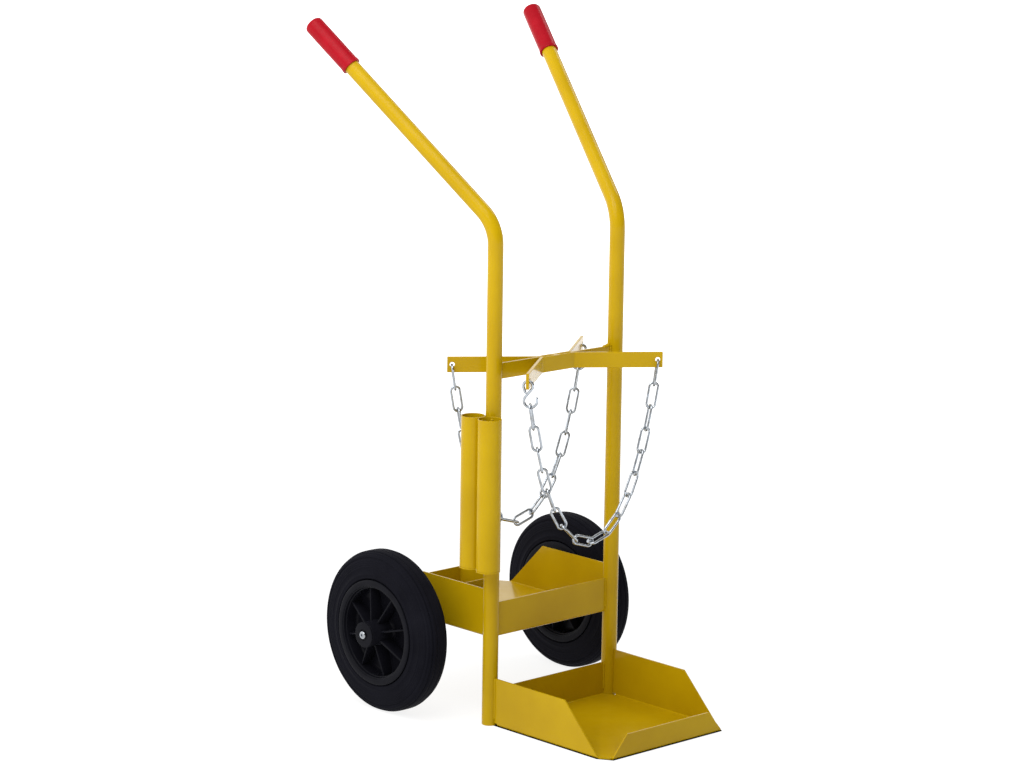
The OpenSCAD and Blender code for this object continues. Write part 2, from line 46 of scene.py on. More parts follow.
# all lengths are in metres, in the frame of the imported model
up = np.array([0.0, 0.0, 1.0])

# points nearer than the first are merged and edges shorter than the second are dissolved; edges sharper
# than the angle, in degrees, are softened
meshLimits = {"merge": 2e-6, "shortest": 1e-7, "softAngle": 40.0}


def unit(v):
    return np.asarray(v, float) / np.linalg.norm(v)


# turns points about +Z by an angle in degrees
def turnedZ(points, degrees):
    a = np.radians(degrees)
    spin = np.array([[np.cos(a), -np.sin(a), 0], [np.sin(a), np.cos(a), 0], [0, 0, 1]])
    return np.asarray(points) @ spin.T


# quads between neighbouring rows and columns of a point grid; a closed way runs round to its start
def gridFaces(rows, cols, closeRows=False, closeCols=True):
    r = np.arange(rows if closeRows else rows - 1)[:, None]
    c = np.arange(cols if closeCols else cols - 1)[None, :]
    rNext = (r + 1) % rows
    cNext = (c + 1) % cols
    quads = np.stack([r * cols + c, r * cols + cNext, rNext * cols + cNext, rNext * cols + c], -1)
    return quads.reshape(-1, 4).tolist()


# a point grid as points and faces; caps close its first and its last row with a face each
def gridShell(points, closeRows=False, closeCols=True, caps=False):
    rows, cols = points.shape[:2]
    faces = gridFaces(rows, cols, closeRows, closeCols)
    if caps:
        faces += [list(range(cols)), list(range((rows - 1) * cols, rows * cols))]
    return points.reshape(-1, 3), faces


# circle of a given radius carried along a path: centre + r (cos t * across + sin t * side)
def roundAlong(path, across, side, radius, sides, closed=False):
    t = np.linspace(0, 2 * np.pi, sides, endpoint=False)
    radius = np.broadcast_to(np.asarray(radius, float), (len(path),))
    ring = np.cos(t)[None, :, None] * across[:, None, :] + np.sin(t)[None, :, None] * side[:, None, :]
    return gridShell(path[:, None, :] + radius[:, None, None] * ring, closeRows=closed)


# a path's in-plane normals: the path's direction crossed with the normal of its plane
def pathFrames(path, planeNormal, closed=False):
    ahead = np.roll(path, -1, 0) - np.roll(path, 1, 0)
    if not closed:
        ahead[0] = path[1] - path[0]
        ahead[-1] = path[-1] - path[-2]
    ahead /= np.linalg.norm(ahead, axis=1)[:, None]
    side = np.broadcast_to(unit(planeNormal), path.shape)
    return np.cross(side, ahead), side


# profile points (radius, height) turned about an axis through a centre
def turnedProfile(profile, centre, axis, steps, closedProfile=True):
    axis = unit(axis)
    first = unit(np.cross(axis, up if abs(axis[2]) < 0.9 else [1.0, 0, 0]))
    second = np.cross(axis, first)
    t = np.linspace(0, 2 * np.pi, steps, endpoint=False)
    ring = np.cos(t)[:, None] * first + np.sin(t)[:, None] * second
    p = np.asarray(profile, float)
    points = centre + p[:, 1, None, None] * axis + p[:, 0, None, None] * ring[None]
    return gridShell(points, closeRows=closedProfile)


# corner points of a profile rounded: each listed corner (x, y, r) becomes a short arc of r
def roundedProfile(corners, steps=5, closed=True):
    pts = np.array([c[:2] for c in corners], float)
    out = []
    count = len(pts)
    for i, corner in enumerate(corners):
        r = corner[2] if len(corner) > 2 else 0
        if r <= 0 or (not closed and i in (0, count - 1)):
            out.append(pts[i][None])
            continue
        a, b = unit(pts[i - 1] - pts[i]), unit(pts[(i + 1) % count] - pts[i])
        half = np.arccos(np.clip(a @ b, -1, 1)) / 2
        centre = pts[i] + unit(a + b) * r / np.sin(half)
        p, q = pts[i] + a * r / np.tan(half) - centre, pts[i] + b * r / np.tan(half) - centre
        turn = np.arccos(np.clip(p @ q / r / r, -1, 1))
        k = np.linspace(0, 1, steps)[:, None]
        out.append(centre + (np.sin((1 - k) * turn) * p + np.sin(k * turn) * q) / np.sin(turn))
    return np.concatenate(out)


# one object from one or more shells, merged where they share points, with its normals outward
def addPiece(name, shells, finish, body, replaced=(), sharp=35.0):
    points, faces, start = [], [], 0
    for p, f in shells:
        points.append(p)
        faces += [[start + i for i in face] for face in f]
        start += len(p)
    data = bpy.data.meshes.new(name)
    data.from_pydata(np.concatenate(points).tolist(), [], faces)
    bm = bmesh.new()
    bm.from_mesh(data)
    bmesh.ops.remove_doubles(bm, verts=bm.verts, dist=meshLimits["merge"])
    bmesh.ops.dissolve_degenerate(bm, edges=bm.edges, dist=meshLimits["shortest"])
    bmesh.ops.recalc_face_normals(bm, faces=bm.faces)
    bm.to_mesh(data)
    bm.free()
    data.polygons.foreach_set("use_smooth", np.ones(len(data.polygons), bool))
    data.set_sharp_from_angle(angle=np.radians(sharp))
    data.materials.append(finish)
    obj = bpy.data.objects.new(name, data)
    bpy.context.scene.collection.objects.link(obj)
    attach(obj, body)
    if replaced:
        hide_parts(*replaced)
    return obj


# thickness of a sheet and softened edges as modifiers, then normals weighted by face area
def finishSheet(obj, edge, thickness=None, segments=2):
    if thickness:
        solid = obj.modifiers.new("sheetThickness", "SOLIDIFY")
        solid.thickness = thickness
        solid.offset = 0
        solid.use_even_offset = True
        solid.use_quality_normals = True
    soft = obj.modifiers.new("softEdges", "BEVEL")
    soft.width = edge
    soft.segments = segments
    soft.limit_method = "ANGLE"
    soft.angle_limit = np.radians(meshLimits["softAngle"])
    soft.use_clamp_overlap = True
    soft.miter_outer = "MITER_ARC"
    obj.modifiers.new("flatFaces", "WEIGHTED_NORMAL").keep_sharp = False


# a new material with its shader and its coordinates
def newFinish(name):
    finish = bpy.data.materials.new(name)
    finish.use_nodes = True
    nodes = finish.node_tree.nodes
    shader = next(n for n in nodes if n.type == "BSDF_PRINCIPLED")
    coords = nodes.new("ShaderNodeTexCoord")
    return finish, finish.node_tree, shader, coords


def addNoise(tree, coords, scale, detail, roughness=0.5):
    noise = tree.nodes.new("ShaderNodeTexNoise")
    noise.inputs["Scale"].default_value = scale
    noise.inputs["Detail"].default_value = detail
    noise.inputs["Roughness"].default_value = roughness
    tree.links.new(coords.outputs["Object"], noise.inputs["Vector"])
    return noise


# a texture's grey value spread over colour stops
def addColours(tree, source, target, stops):
    ramp = tree.nodes.new("ShaderNodeValToRGB")
    bar = ramp.color_ramp
    while len(bar.elements) < len(stops):
        bar.elements.new(0.5)
    for element, (place, colour) in zip(bar.elements, stops):
        element.position = place
        element.color = (*colour, 1.0)
    tree.links.new(source.outputs["Fac"], ramp.inputs["Fac"])
    tree.links.new(ramp.outputs["Color"], target)


# a noise's grey value, which mostly lies between 0.3 and 0.7, spread over a range of roughness
def addRoughness(tree, source, shader, smooth, rough):
    span = tree.nodes.new("ShaderNodeMapRange")
    span.inputs["From Min"].default_value = 0.3
    span.inputs["From Max"].default_value = 0.7
    span.inputs["To Min"].default_value = smooth
    span.inputs["To Max"].default_value = rough
    tree.links.new(source.outputs["Fac"], span.inputs["Value"])
    tree.links.new(span.outputs["Result"], shader.inputs["Roughness"])


def addBump(tree, source, shader, strength, distance):
    bump = tree.nodes.new("ShaderNodeBump")
    bump.inputs["Strength"].default_value = strength
    bump.inputs["Distance"].default_value = distance
    tree.links.new(source.outputs["Fac"], bump.inputs["Height"])
    tree.links.new(bump.outputs["Normal"], shader.inputs["Normal"])


# In each finish, clouds run between the deep and the light colour at the two stops. Clouds, mottle and
# grain are noises given by scale, detail and roughness; bump is strength and height of the grain; rough is
# the range of roughness, along the mottle or else the clouds; gloss holds values for the shader itself.
yellowEnamel = {"light": (0.500, 0.324, 0.002), "deep": (0.428, 0.264, 0.0015), "stops": (0.3, 0.7),
                "clouds": (9.0, 4.0), "mottle": (60.0, 3.0), "grain": (150.0, 2.0), "bump": (0.02, 0.0001),
                "rough": (0.3, 0.42), "gloss": {"Specular IOR Level": 0.03, "Coat Weight": 1.0,
                                                "Coat Roughness": 0.13, "Coat IOR": 1.18}}
redVinyl = {"light": (0.345, 0.006, 0.014), "deep": (0.29, 0.004, 0.010), "stops": (0.3, 0.7),
            "clouds": (40.0, 3.0), "grain": (420.0, 3.0), "bump": (0.1, 0.00012), "rough": (0.2, 0.3),
            "gloss": {"Specular IOR Level": 0.07}}
tyreRubber = {"light": (0.0080, 0.0080, 0.0118), "deep": (0.0050, 0.0050, 0.0078), "stops": (0.3, 0.72),
              "clouds": (22.0, 5.0, 0.6), "grain": (1400.0, 3.0), "bump": (0.35, 0.0002),
              "rough": (0.5, 0.66), "gloss": {"Specular IOR Level": 0.02}}
rimPlastic = {"light": (0.0080, 0.0080, 0.0112), "deep": (0.0056, 0.0056, 0.0080), "stops": (0.3, 0.7),
              "clouds": (35.0, 3.0), "grain": (1000.0, 2.0), "bump": (0.2, 0.00012), "rough": (0.2, 0.3),
              "gloss": {"Specular IOR Level": 0.045}}
zincPlate = {"light": (0.47, 0.51, 0.56), "deep": (0.31, 0.32, 0.325), "stops": (0.32, 0.62),
             "clouds": (90.0, 4.0, 0.6), "grain": (810.0, 2.0), "bump": (0.18, 0.0001),
             "rough": (0.11, 0.2), "gloss": {"Metallic": 1.0}}
bareSteel = {"light": (0.44, 0.44, 0.45), "deep": (0.32, 0.32, 0.33), "stops": (0.32, 0.62),
             "clouds": (70.0, 4.0, 0.6), "grain": (630.0, 2.0), "bump": (0.18, 0.0001),
             "rough": (0.24, 0.4), "gloss": {"Metallic": 1.0}}
bushBronze = {"light": (0.60, 0.38, 0.14), "deep": (0.42, 0.25, 0.09), "stops": (0.32, 0.62),
              "clouds": (90.0, 4.0, 0.6), "grain": (810.0, 2.0), "bump": (0.18, 0.0001),
              "rough": (0.3, 0.48), "gloss": {"Metallic": 1.0}}


def makeFinish(name, s):
    finish, tree, shader, coords = newFinish(name)
    clouds = addNoise(tree, coords, *s["clouds"])
    stops = list(zip(s["stops"], (s["deep"], s["light"])))
    addColours(tree, clouds, shader.inputs["Base Color"], stops)
    mottle = addNoise(tree, coords, *s["mottle"]) if "mottle" in s else clouds
    addRoughness(tree, mottle, shader, *s["rough"])
    addBump(tree, addNoise(tree, coords, *s["grain"]), shader, *s["bump"])
    for socket, value in s["gloss"].items():
        shader.inputs[socket].default_value = value
    return finish


yellow = makeFinish("yellowEnamel", yellowEnamel)
red = makeFinish("redVinyl", redVinyl)
rubber = makeFinish("tyreRubber", tyreRubber)
plastic = makeFinish("rimPlastic", rimPlastic)
zinc = makeFinish("zincPlate", zincPlate)
steel = makeFinish("bareSteel", bareSteel)
bronze = makeFinish("bushBronze", bushBronze)
print("finishes made")

# uprights that run on into the handles; lean and splay are in degrees
uprightTube = {"x": 0.132, "radius": 0.0125, "wall": 0.002, "bendHeight": 0.797, "bendRadius": 0.070,
               "lean": 48.8, "splay": 18.1, "handle": 0.4409, "edge": 0.0004}


# straight post, arc and straight handle in the plane of the handle's direction and +Z
def handlePath(side):
    lean = np.radians(uprightTube["lean"])
    splay = np.radians(uprightTube["splay"])
    reach = uprightTube["bendRadius"] * np.tan(lean / 2)
    foot = np.array([side * uprightTube["x"], 0, 0])
    back = np.array([side * np.sin(splay), np.cos(splay), 0])
    bendStart = foot + up * (uprightTube["bendHeight"] - reach)
    a = np.linspace(0, lean, 29)[:, None]
    arc = bendStart + uprightTube["bendRadius"] * ((1 - np.cos(a)) * back + np.sin(a) * up)
    along = np.sin(lean) * back + np.cos(lean) * up
    post = foot + np.linspace(0, 1, 30)[:-1, None] * (bendStart - foot)
    end = foot + up * uprightTube["bendHeight"] + along * uprightTube["handle"]
    handle = arc[-1] + np.linspace(0, 1, 20)[1:, None] * (end - arc[-1])
    return np.concatenate([post, arc, handle]), along, np.cross(back, up)


# outer skin up the path and bore back down it, closed at both ends with small chamfers
def tubeAlong(path, planeNormal, radius, wall, edge, sides=48):
    across, side = pathFrames(path, planeNormal)
    first, last = unit(path[1] - path[0]), unit(path[-1] - path[-2])
    rows = np.concatenate([path[:1], path[:1] + first * edge, path[1:-1],
                           path[-1:] - last * edge, path[-1:]])
    acrossRows = np.concatenate([across[:1], across, across[-1:]])
    sideRows = np.concatenate([side[:1], side, side[-1:]])
    outer = np.full(len(rows), radius)
    outer[[0, -1]] -= edge
    inner = np.full(len(rows), radius - wall)
    inner[[0, -1]] += edge
    back = slice(None, None, -1)
    return roundAlong(np.concatenate([rows, rows[back]]), np.concatenate([acrossRows, acrossRows[back]]),
                      np.concatenate([sideRows, sideRows[back]]), np.concatenate([outer, inner[back]]),
                      sides, closed=True)


gripSleeve = {"length": 0.098, "bore": 0.0126, "radius": 0.0152, "end": 0.004, "round": 0.0068,
              "handle": 0.445, "swell": 0.0001, "swellStart": 0.010, "swellStop": 0.006}

# the sleeve's flared open rim from the bore to its outer skin, as (radius, height, rounding)
gripRim = [(0.0126, 0.0003), (0.0134, 0, 0.0003), (0.0158, 0, 0.0009), (0.0158, 0.004, 0.0016),
           (0.0152, 0.008, 0.002), (0.0152, 0.0095)]


# a tube along each handle's path, and on its end a profile turned about the handle's direction, whose
# radius swells with the sine of the height
def makeHandles():
    for side, word in ((-1, "left"), (1, "right")):
        path, along, normal = handlePath(side)
        tube = tubeAlong(path, normal, uprightTube["radius"], uprightTube["wall"], uprightTube["edge"])
        addPiece(word + "_upright_tube", [tube], yellow, "cart_frame", [word + "_upright"])
        g = gripSleeve
        top = g["length"]
        # open rim, sleeve with a soft swelling, rounded closed end, then the bore back to the rim
        h = np.linspace(g["swellStart"], top - g["round"] - g["swellStop"], 14)
        swell = g["swell"] * np.sin(np.pi * (h - g["swellStart"]) / (top - 2 * g["swellStart"]))
        outerRow = np.stack([g["radius"] + swell, h], 1)
        a = np.linspace(0, np.pi / 2, 10)
        dome = np.stack([g["radius"] - g["round"] + g["round"] * np.cos(a),
                         top - g["round"] + g["round"] * np.sin(a)], 1)
        inside = [[0, top], [0, top - g["end"]], [g["bore"], top - g["end"]]]
        profile = np.concatenate([roundedProfile(gripRim, closed=False), outerRow, dome, inside])
        base = np.array([side * uprightTube["x"], 0, uprightTube["bendHeight"]])
        start = base + along * (g["handle"] - g["length"])
        sleeve = turnedProfile(profile, start, along, 64)
        addPiece(word + "_grip_sleeve", [sleeve], red, "cart_frame", [word + "_grip"], 50.0)


makeHandles()
print("uprights and grips made")

traySheet = {"thickness": 0.0025, "halfWidth": 0.132, "depth": 0.266, "wallHeight": 0.077,
             "backHeight": 0.056, "lipHeight": 0.036, "wallFoot": 0.245, "cornerLong": 0.023,
             "cornerWide": 0.0145, "lipLean": 0.029, "lipStart": 0.004, "foldRadius": 0.00275,
             "tubeCut": 0.0126, "notch": 0.004, "notchTop": 0.0042, "edge": 0.0006, "axleLess": 0.010}

# extra columns where the cut round the tube is steep, and rows up the side walls
cutColumns = [0.1205, 0.122, 0.124, 0.126]
wallRows = [0.012, 0.025, 0.045, 0.06]

# half the distance between the two rows or columns at a step in the outline, and the slack with which
# columns are compared with the limits they were made from
hair, slack = 0.0001, 1e-9


# the sheet's middle surface: a U section carried from the uprights to the front edge, the lip and the
# back wall as bent continuations; front and rear edges are functions of the place along the section
def trayShells(less):
    s = traySheet
    depth, foot = s["depth"] - less, s["wallFoot"] - less
    mid, fold, half = s["thickness"] / 2, s["foldRadius"], s["halfWidth"]
    lipHalf = half + mid - s["cornerWide"]
    inner = half - s["tubeCut"]
    notchIn = half - s["notch"]
    floorX = np.concatenate([np.linspace(0, lipHalf, 21), [inner], cutColumns,
                             [notchIn - hair, notchIn + hair, half - fold]])
    a = np.radians(np.linspace(0, 90, 7))[1:]
    foldX, foldZ = half - fold + fold * np.sin(a), mid + fold - fold * np.cos(a)
    wallZ = np.array([s["notchTop"] - hair, s["notchTop"] + hair, *wallRows, s["wallHeight"]])
    x = np.concatenate([floorX, foldX, np.full(len(wallZ), half)])
    z = np.concatenate([np.full(len(floorX), mid), foldZ, wallZ])
    front = depth - s["cornerLong"] * np.maximum(0, x - lipHalf) / s["cornerWide"]
    front = np.where(z > mid + fold, np.minimum(front, foot - (z - s["thickness"])), front)
    front = np.minimum(front, depth - fold - mid)
    nearTube = np.sqrt(np.maximum(0, s["tubeCut"] ** 2 - (half - x) ** 2))
    rear = np.where(x <= inner + slack, fold, np.maximum(nearTube, fold))
    rear = np.where((x > notchIn) & (z < s["notchTop"]), s["tubeCut"] + 1.5 * s["notch"], rear)
    x, z = np.concatenate([-x[:0:-1], x]), np.concatenate([z[:0:-1], z])
    front, rear = np.concatenate([front[:0:-1], front]), np.concatenate([rear[:0:-1], rear])
    k = np.linspace(0, 1, 15)[:, None]
    bed = np.stack([x + 0 * k, rear + k * (front - rear), z + 0 * k], -1)

    lipX = x[np.abs(x) <= lipHalf + slack]
    a = np.radians(np.linspace(0, 90, 7))
    rise = np.linspace(mid + fold, s["lipHeight"], 5)[1:]
    bend = depth - mid - fold
    lipY = np.concatenate([bend + fold * np.sin(a), np.full(4, depth - mid)])[:, None]
    lipZ = np.concatenate([mid + fold * (1 - np.cos(a)), rise])[:, None]
    leanPart = np.maximum(0, lipZ - s["lipStart"]) / (s["lipHeight"] - s["lipStart"])
    narrow = 1 - s["lipLean"] / lipHalf * leanPart
    lip = np.stack([lipX * narrow, lipY + 0 * lipX, lipZ + 0 * lipX], -1)

    backX = x[np.abs(x) <= inner + slack]
    rise = np.linspace(mid + fold, s["backHeight"], 6)[1:]
    backY = np.concatenate([fold - fold * np.sin(a), np.zeros(5)])[:, None]
    backZ = np.concatenate([mid + fold * (1 - np.cos(a)), rise])[:, None]
    back = np.stack([backX + 0 * backY, backY + 0 * backX, backZ + 0 * backX], -1)
    return [gridShell(p, closeCols=False) for p in (bed, lip, back)]


# both trays from one surface: the base tray turned half round, the axle tray raised to its floor
def makeTrays():
    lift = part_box("axle_tray")[0][2]
    places = (("base_tray_sheet", "base_tray", 180, 0.0, 0.0),
              ("axle_tray_sheet", "axle_tray", 0, lift, traySheet["axleLess"]))
    for name, node, turn, height, less in places:
        shells = [(turnedZ(p, turn) + up * height, f) for p, f in trayShells(less)]
        tray = addPiece(name, shells, yellow, "cart_frame", [node])
        finishSheet(tray, traySheet["edge"], traySheet["thickness"])


toolSheet = {"thickness": 0.002, "left": -0.13065, "width": 0.071, "front": 0.062, "length": 0.088,
             "foldRadius": 0.0025, "edge": 0.0005, "cornerRelief": 0.0016, "lift": 0.0001}


# U-shaped plan path with round folds, carried straight up
def makeToolBox():
    s = toolSheet
    mid, fold = s["thickness"] / 2, s["foldRadius"]
    right = s["left"] + s["width"] - mid
    near, far = s["front"] + mid, s["front"] + s["length"] - mid
    start = s["left"] + s["cornerRelief"]
    path = roundedProfile([(start, near), (right, near, fold), (right, far, fold), (start, far)], 8,
                          closed=False)
    low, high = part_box("tool_box")[0][2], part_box("tool_box")[1][2]
    z = np.linspace(low + s["lift"], high, 7)[:, None]
    points = np.stack([path[:, 0] + 0 * z, path[:, 1] + 0 * z, z + 0 * path[:, 0]], -1)
    piece = addPiece("tool_compartment", [gridShell(points, closeCols=False)], yellow, "cart_frame",
                     ["tool_box"])
    finishSheet(piece, s["edge"], s["thickness"])


makeTrays()
makeToolBox()
print("trays made")

# the tie bar and both cradles are of one flat bar, and a cradle is bent by an angle in degrees
flatBar = {"height": 0.025, "thickness": 0.005, "z": 0.5675, "edge": 0.0008, "cradleY": -0.005,
           "cradleHalf": 0.0355, "angle": 37.8, "armEnd": 0.1475, "bendRadius": 0.0085, "hole": 0.008,
           "holeInset": 0.008}


# flat section carried along a level plan path
def barAlong(plan):
    path = np.column_stack([plan, np.full(len(plan), flatBar["z"])])
    across, _ = pathFrames(path, up)
    h, t = flatBar["height"] / 2, flatBar["thickness"] / 2
    wide = np.array([-t, t, t, -t])[None, :, None]
    tall = np.array([-h, -h, h, h])[None, :, None]
    return gridShell(path[:, None, :] + wide * across[:, None, :] + tall * up, caps=True)


# cuts round holes, given as (centre, axis, radius), by a boolean that is applied to the mesh
def drill(obj, holes):
    cutters = []
    depth = 2 * flatBar["thickness"]
    for centre, axis, radius in holes:
        outline = [(0, -depth), (radius, -depth), (radius, depth), (0, depth)]
        cutters.append(turnedProfile(outline, centre, axis, 48, closedProfile=False))
    knife = addPiece("drill", cutters, yellow, "cart_frame")
    cut = obj.modifiers.new("holes", "BOOLEAN")
    cut.operation = "DIFFERENCE"
    cut.solver = "EXACT"
    cut.object = knife
    graph = bpy.context.evaluated_depsgraph_get()
    cutMesh = bpy.data.meshes.new_from_object(obj.evaluated_get(graph))
    obj.modifiers.clear()
    obj.data = cutMesh
    bpy.data.objects.remove(knife)


# centre of the right arm's hole, seen from above
def armHole():
    a = np.radians(flatBar["angle"])
    holeX = flatBar["armEnd"] - flatBar["holeInset"] * np.cos(a)
    return holeX, flatBar["cradleY"] - (holeX - flatBar["cradleHalf"]) * np.tan(a)


# the tie bar runs straight from tube to tube; a cradle is level in the middle, and on its arms y falls from
# cradleY by the tangent of the angle
def makeBars():
    s = flatBar
    end = uprightTube["x"] - np.sqrt(traySheet["tubeCut"] ** 2 - s["thickness"] ** 2 / 4)
    plan = np.column_stack([np.linspace(-end, end, 9), np.zeros(9)])
    bar = addPiece("tie_bar_flat", [barAlong(plan)], yellow, "cart_frame", ["tie_bar"])
    finishSheet(bar, s["edge"], segments=3)
    a = np.radians(s["angle"])
    armY = s["cradleY"] - (s["armEnd"] - s["cradleHalf"]) * np.tan(a)
    plan = roundedProfile([(-s["armEnd"], armY), (-s["cradleHalf"], s["cradleY"], s["bendRadius"]),
                           (s["cradleHalf"], s["cradleY"], s["bendRadius"]), (s["armEnd"], armY)],
                          9, closed=False)
    holeX, holeY = armHole()
    for word, turn in (("front", 0), ("rear", 180)):
        flat = np.column_stack([plan, np.zeros(len(plan))])
        shell = barAlong(turnedZ(flat, turn)[:, :2])
        cradle = addPiece(word + "_cradle_bar", [shell], yellow, "cart_frame", [word + "_cradle"])
        holes = []
        for side in (-1, 1):
            centre = turnedZ([side * holeX, holeY, s["z"]], turn)
            axis = turnedZ([side * np.sin(a), np.cos(a), 0], turn)
            holes.append((centre, axis, s["hole"] / 2))
        drill(cradle, holes)
        finishSheet(cradle, s["edge"], segments=3)


makeBars()

rodTube = {"radius": 0.019, "wall": 0.0015, "x": -0.157212, "y": 0.01905, "low": 0.258, "high": 0.499,
           "edge": 0.0005}


# two straight tubes, each on an upright path from low to high
def makeRodTubes():
    for side, word in ((-1, "front"), (1, "rear")):
        foot = np.array([rodTube["x"], side * rodTube["y"], rodTube["low"]])
        path = foot + np.linspace(0, rodTube["high"] - rodTube["low"], 12)[:, None] * up
        tube = tubeAlong(path, [1.0, 0, 0], rodTube["radius"], rodTube["wall"], rodTube["edge"], 64)
        addPiece(word + "_rod_holder", [tube], yellow, "cart_frame", [word + "_rod_tube"])


makeRodTubes()
print("bars and rod tubes made")

# the run hangs from start to end and rolls by a quarter turn on its way; roll is in degrees
chainRun = {"start": (0.141179, -0.086973, 0.564320), "end": (-0.138727, -0.090134, 0.528583),
            "links": 17, "step": 0.0363, "inside": 0.0372, "width": 0.018, "wire": 0.004, "roll": 37.8,
            "weldBump": 0.00022, "weldHalf": 0.002}


# catenary z = a cosh((u - low) / a) + c through both ends, its size a found by halving; points are
# spaced a link's step apart along it
def chainPoints():
    s = chainRun
    start, end = np.array(s["start"]), np.array(s["end"])
    span, rise, length = start[0] - end[0], end[2] - start[2], s["links"] * s["step"]
    level = np.sqrt(length ** 2 - rise ** 2)
    small, large = span / 50, span * 5
    for _ in range(60):
        a = (small + large) / 2
        if 2 * a * np.sinh(span / 2 / a) > level:
            small = a
        else:
            large = a
    low = span / 2 - a * np.arctanh(rise / length)
    i = np.arange(s["links"] + 1)
    u = low + a * np.arcsinh(i * s["step"] / a - np.sinh(low / a))
    z = start[2] + a * (np.cosh((u - low) / a) - np.cosh(low / a))
    return np.column_stack([start[0] - u, start[1] + (end[1] - start[1]) * i / s["links"], z])


# stadium path of one link in its own frame, long way on Z, with a slight swelling at the weld
def linkShape():
    s = chainRun
    bend = (s["width"] - s["wire"]) / 2
    straight = s["inside"] / 2 - (bend - s["wire"] / 2)
    a = np.linspace(0, np.pi, 17)
    top = np.column_stack([0 * a, bend * np.cos(a), straight + bend * np.sin(a)])
    down = np.column_stack([np.zeros(9), np.full(9, -bend), np.linspace(straight, -straight, 11)[1:-1]])
    path = np.concatenate([top, down, top * [1, -1, -1], down * [1, -1, -1]])
    across, side = pathFrames(path, [1.0, 0, 0], closed=True)
    bump = s["weldBump"] * np.exp(-(path[:, 2] / s["weldHalf"]) ** 2) * (path[:, 1] < 0)
    return path, across, side, s["wire"] / 2 + bump


# link number i laid on its chord, turned about its long way by the chain's slow roll
def linkShell(i, points, shape):
    path, across, side, radius = shape
    a, b = points[i - 1], points[i]
    roll = chainRun["roll"] - 90 * (i - 1) / (chainRun["links"] - 1) + (90 if i % 2 == 0 else 0)
    tilt = np.arctan2(b[0] - a[0], b[2] - a[2])
    lean = np.array([[np.cos(tilt), 0, np.sin(tilt)], [0, 1, 0], [-np.sin(tilt), 0, np.cos(tilt)]])
    place = [turnedZ(v, roll) @ lean.T for v in (path, across, side)]
    return roundAlong(place[0] + (a + b) / 2, place[1], place[2], radius, 16, closed=True)


sHook = {"topZ": 0.559483, "wire": 0.0045, "topRadius": 0.0075, "lowRadius": 0.0102, "step": 0.0234,
         "shift": 0.004, "lead": 20.0, "topLip": 0.008, "lowLip": 0.0046}


# S in its own plane: short end, upper loop, crossing straight, lower loop, short end
def hookShell():
    s = sHook
    low = np.array([s["shift"], -s["step"]])
    leave = np.degrees(np.arctan2(low[0], -low[1])
                       - np.arcsin((s["topRadius"] + s["lowRadius"]) / np.linalg.norm(low)))
    lead = np.radians(s["lead"])

    def arc(centre, radius, start, end, count):
        a = np.radians(np.linspace(start, end, count))
        return centre + radius * np.column_stack([np.cos(a), np.sin(a)])

    top = arc(np.zeros(2), s["topRadius"], 180 + s["lead"], leave, 25)
    bottom = arc(low, s["lowRadius"], 180 + leave, 360, 29)
    lipTop = top[0] + np.array([np.sin(lead), -np.cos(lead)]) * np.linspace(s["topLip"], 0, 5)[:-1, None]
    lipLow = bottom[-1] + np.array([0, 1.0]) * np.linspace(0, s["lowLip"], 4)[1:, None]
    cross = top[-1] + (bottom[0] - top[-1]) * np.linspace(0, 1, 7)[1:-1, None]
    flat = np.concatenate([lipTop, top, cross, bottom, lipLow])
    path = np.column_stack([flat[:, 0], np.zeros(len(flat)), flat[:, 1]])
    across, side = pathFrames(path, [0, 1.0, 0])
    r = s["wire"] / 2
    a = np.radians([90, 60, 30])
    out, last = unit(path[0] - path[1]), unit(path[-1] - path[-2])
    body = np.concatenate([path[0] + out * (r * np.sin(a))[:, None], path,
                           path[-1] + last * (r * np.sin(a[::-1]))[:, None]])
    rings = [np.concatenate([np.repeat(v[:1], 3, 0), v, np.repeat(v[-1:], 3, 0)]) for v in (across, side)]
    radius = np.concatenate([r * np.cos(a), np.full(len(path), r), r * np.cos(a[::-1])])
    points, faces = roundAlong(body, rings[0], rings[1], radius, 20)
    holeX, holeY = armHole()
    return turnedZ(points, flatBar["angle"] - 90) + np.array([-holeX, holeY, s["topZ"]]), faces


# the rear run and hook are the front ones turned half round; the first link hangs in the cradle's hole
def makeChains():
    points, shape = chainPoints(), linkShape()
    for word, turn in (("front", 0), ("rear", 180)):
        shells = [linkShell(i, points, shape) for i in range(1, chainRun["links"] + 1)]
        shells = [(turnedZ(p, turn), f) for p, f in shells]
        addPiece(word + "_hole_link", shells[:1], zinc, "cart_frame", [word + "_first_link"])
        addPiece(word + "_hanging_chain", shells[1:], zinc, word + "_chain_run", [word + "_chain"])
        p, f = hookShell()
        addPiece(word + "_chain_hook", [(turnedZ(p, turn), f)], zinc, "cart_frame", [word + "_s_hook"])


makeChains()
print("chains and hooks made")

# place of the left and right wheel's middle, and the ribs of the rims; the turn is in degrees
wheel = {"x": 0.20225, "y": 0.170, "z": 0.1305, "ribs": 8, "ribTurn": 14.0, "ribThickness": 0.003,
         "ribInner": 0.0196, "ribOuter": 0.0715, "ribHubHeight": 0.0285, "ribRimHeight": 0.0195}

# half of the tyre's section from the rim to the middle of the tread, as (radius, distance from the
# middle, rounding)
tyreSection = [(0.0771, 0.0219), (0.0851, 0.0219), (0.0851, 0.0230, 0.0004), (0.0880, 0.02656, 0.0010)]

